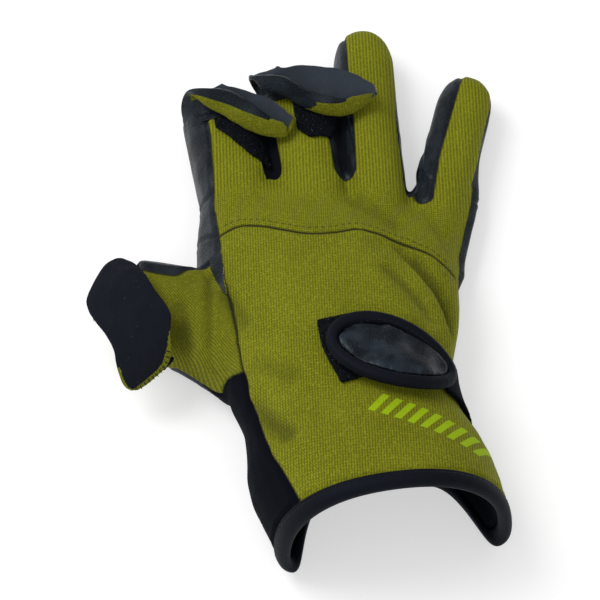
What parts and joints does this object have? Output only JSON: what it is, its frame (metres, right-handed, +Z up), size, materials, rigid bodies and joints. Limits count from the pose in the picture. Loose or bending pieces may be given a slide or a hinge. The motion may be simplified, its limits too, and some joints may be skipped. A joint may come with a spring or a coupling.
{
  "type": "neoprene fishing glove",
  "caption": "Right-hand neoprene glove lying palm down, with slit thumb, index and middle fingers whose caps are folded back, and a wrist strap pad.",
  "frame": {"origin": "middle of the glove's footprint, on the surface that it lies on", "axes": "+Y from the cuff towards the fingertips, +X towards the little finger, +Z up out of the back of the hand"},
  "size_m": [0.1828, 0.2426, 0.0632],
  "materials": {
    "olive_neoprene": "matte knit over neoprene",
    "black_neoprene": "matte knit over neoprene",
    "leather": "soft synthetic leather",
    "hook_tape": "hook and loop tape",
    "binding": "stitched tape"
  },
  "bodies": {
    "root": {"finger_backs": "olive_neoprene", "hand_back": "olive_neoprene", "thumb_back": "olive_neoprene", "cuff_gusset": "black_neoprene", "index_front": "leather", "middle_front": "leather", "ring_front": "leather", "little_front": "leather", "thumb_front": "leather", "palm": "leather", "cuff_binding": "binding", "index_cap": "olive_neoprene", "index_cap_side": "leather", "middle_cap": "olive_neoprene", "middle_cap_side": "leather", "thumb_flap": "olive_neoprene", "thumb_hinge": "olive_neoprene", "thumb_patch": "hook_tape", "index_patch": "hook_tape", "middle_patch": "hook_tape", "strap_band": "black_neoprene", "strap_pad": "leather", "strap_piping": "binding", "strap_tab": "hook_tape"}
  },
  "joints": []
}
